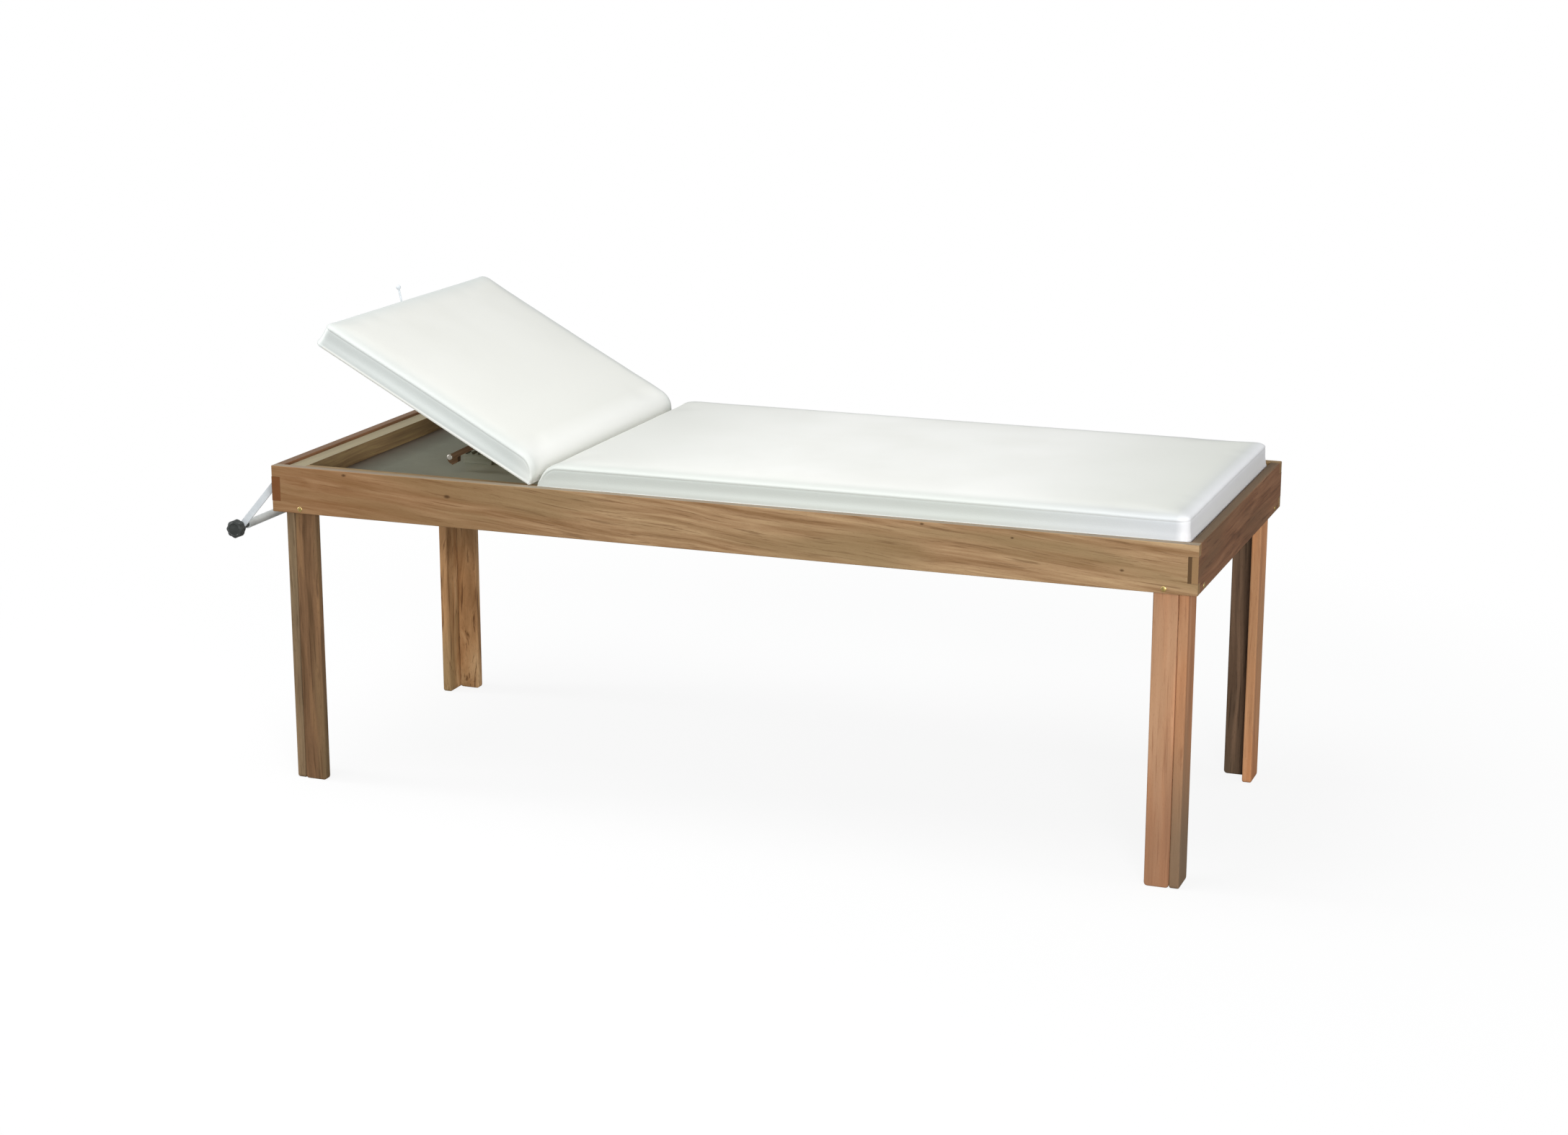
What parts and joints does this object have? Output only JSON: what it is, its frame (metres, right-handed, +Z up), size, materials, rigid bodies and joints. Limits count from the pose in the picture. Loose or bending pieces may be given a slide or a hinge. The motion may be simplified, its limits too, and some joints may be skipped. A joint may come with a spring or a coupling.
{
  "type": "examination table",
  "caption": "Wooden examination table with board legs, white padded seat, hinged backrest on a folding prop, and a paper-roll holder at the head end.",
  "frame": {"origin": "on the floor, below the middle of the whole object's box", "axes": "+X from the head end to the foot end, +Y from the near side to the far side, +Z up"},
  "size_m": [2.1264, 0.803, 1.0341],
  "materials": {
    "rail_wood": "satin lacquered walnut-brown timber",
    "leg_wood": "satin lacquered walnut-brown timber",
    "batten_wood": "plain sawn softwood",
    "prop_wood": "dark oiled hardwood",
    "hardboard": "grey-green mottled hardboard",
    "plywood": "bare birch plywood",
    "cover": "smooth white coated cloth over foam",
    "zinc_steel": "zinc-plated steel",
    "brass": "polished brass",
    "white_enamel": "gloss white enamel",
    "black_plastic": "moulded black plastic"
  },
  "bodies": {
    "frame": {"side_rail_near": "rail_wood", "side_rail_far": "rail_wood", "end_rail_head": "rail_wood", "end_rail_foot": "rail_wood", "side_batten_near": "batten_wood", "side_batten_far": "batten_wood", "end_batten_head": "batten_wood", "end_batten_foot": "batten_wood", "cross_bearer": "batten_wood", "base_panel": "hardboard", "leg_head_near_end_board": "leg_wood", "leg_head_near_side_board": "leg_wood", "leg_head_far_end_board": "leg_wood", "leg_head_far_side_board": "leg_wood", "leg_foot_near_end_board": "leg_wood", "leg_foot_near_side_board": "leg_wood", "leg_foot_far_end_board": "leg_wood", "leg_foot_far_side_board": "leg_wood", "leg_screw_head_near_end": "brass", "leg_screw_head_near_side": "brass", "leg_screw_head_far_end": "brass", "leg_screw_head_far_side": "brass", "leg_screw_foot_near_end": "brass", "leg_screw_foot_near_side": "brass", "leg_screw_foot_far_end": "brass", "leg_screw_foot_far_side": "brass", "seat_board": "plywood", "seat_cushion": "cover", "hinge_near_seat_leaf": "zinc_steel", "hinge_near_pin": "zinc_steel", "hinge_far_seat_leaf": "zinc_steel", "hinge_far_pin": "zinc_steel", "prop_rack_near": "prop_wood", "prop_rack_far": "prop_wood", "roll_arm_near": "white_enamel", "roll_arm_far": "white_enamel", "roll_arm_screw_near_upper": "zinc_steel", "roll_arm_screw_near_lower": "zinc_steel", "roll_arm_screw_far_upper": "zinc_steel", "roll_arm_screw_far_lower": "zinc_steel"},
    "backrest": {"backrest_board": "plywood", "backrest_cushion": "cover", "lift_hook": "white_enamel", "hinge_near_backrest_leaf": "zinc_steel", "hinge_far_backrest_leaf": "zinc_steel", "prop_bracket_near": "zinc_steel", "prop_bracket_far": "zinc_steel", "prop_pivot_rod": "zinc_steel"},
    "prop": {"prop_arm_near": "prop_wood", "prop_arm_far": "prop_wood", "prop_foot_rod": "zinc_steel", "prop_rod_cap_near": "zinc_steel", "prop_rod_cap_far": "zinc_steel"},
    "roll_rod": {"roll_rod": "zinc_steel", "roll_bush_near": "black_plastic", "roll_bush_far": "black_plastic", "roll_cap_nut": "zinc_steel"},
    "roll_knob": {"roll_knob": "black_plastic"}
  },
  "joints": [
    {"name": "backrest_hinge", "type": "hinge", "parent": "frame", "child": "backrest", "pos_m": [-0.33825, 0, 0.6865], "axis": [0, 1, 0], "range_deg": [-28.5, 13.5]},
    {"name": "prop_swing", "type": "hinge", "parent": "backrest", "child": "prop", "pos_m": [-0.49383, 0, 0.76358], "axis": [0, 1, 0], "range_deg": [-27, 57]},
    {"name": "roll_rod_spin", "type": "hinge", "parent": "frame", "child": "roll_rod", "pos_m": [-1.04325, 0, 0.548], "axis": [0, 1, 0], "continuous": true},
    {"name": "roll_knob_turn", "type": "hinge", "parent": "roll_rod", "child": "roll_knob", "pos_m": [-1.04325, -0.3765, 0.548], "axis": [0, 1, 0], "continuous": true}
  ],
  "couplings": [
    {"joint": "prop_swing", "follows": "backrest_hinge", "ratio": -2}
  ]
}
